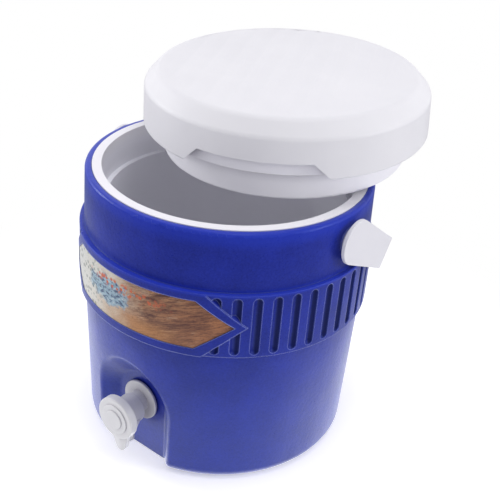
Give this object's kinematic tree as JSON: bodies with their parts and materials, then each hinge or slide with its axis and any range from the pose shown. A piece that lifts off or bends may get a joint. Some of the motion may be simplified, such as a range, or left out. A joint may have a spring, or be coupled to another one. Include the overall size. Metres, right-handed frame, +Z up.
{
  "type": "insulated beverage dispenser",
  "caption": "Insulated drinks jug with double walls, a foam-filled lift-off lid lying ajar, a swinging bail handle and a turning tap in a recess at the base.",
  "frame": {"origin": "middle of the flat base, on the surface it stands on", "axes": "+Z up the jug's axis, -Y out along the tap, +X to the right seen from the tap"},
  "size_m": [0.2702, 0.3336, 0.3333],
  "materials": {
    "blue_shell": "satin, fine mottled grain",
    "white_liner": "satin",
    "white_cover": "satin",
    "white_handle": "satin",
    "white_fitting": "satin",
    "foam": "matt rigid foam",
    "printed_label": "gloss printed sheet",
    "seal_rubber": "matt",
    "spring_steel": "satin"
  },
  "bodies": {
    "jug": {"outer_shell": "blue_shell", "inner_liner": "white_liner", "body_foam": "foam", "label_sheet": "printed_label", "foam_fill_plug": "blue_shell", "pivot_bush_right": "white_fitting", "pivot_bush_left": "white_fitting", "tap_body": "white_fitting", "tap_outer_gasket": "seal_rubber", "wall_sleeve": "white_fitting", "tap_inner_gasket": "seal_rubber", "tap_nut": "white_fitting"},
    "bail": {"handle_bail": "white_handle", "pivot_clip_right": "spring_steel", "pivot_clip_left": "spring_steel"},
    "tap": {"tap_valve_plug": "white_fitting", "tap_knob": "white_fitting", "tap_o_ring": "seal_rubber"},
    "lid": {"lid_cover": "white_cover", "lid_pan": "white_liner", "lid_foam": "foam", "lid_seal": "seal_rubber"}
  },
  "joints": [
    {"name": "bail_swing", "type": "hinge", "parent": "jug", "child": "bail", "pos_m": [0, 0, 0.2285], "axis": [1, 0, 0], "range_deg": [0, 35]},
    {"name": "tap_turn", "type": "hinge", "parent": "jug", "child": "tap", "pos_m": [0, -0.125, 0.0525], "axis": [0, -1, 0], "range_deg": [0, 90]},
    {"name": "lid_lift", "type": "slide", "parent": "jug", "child": "lid", "axis": [0, 0, 1], "range_m": [0, 0.15]}
  ]
}
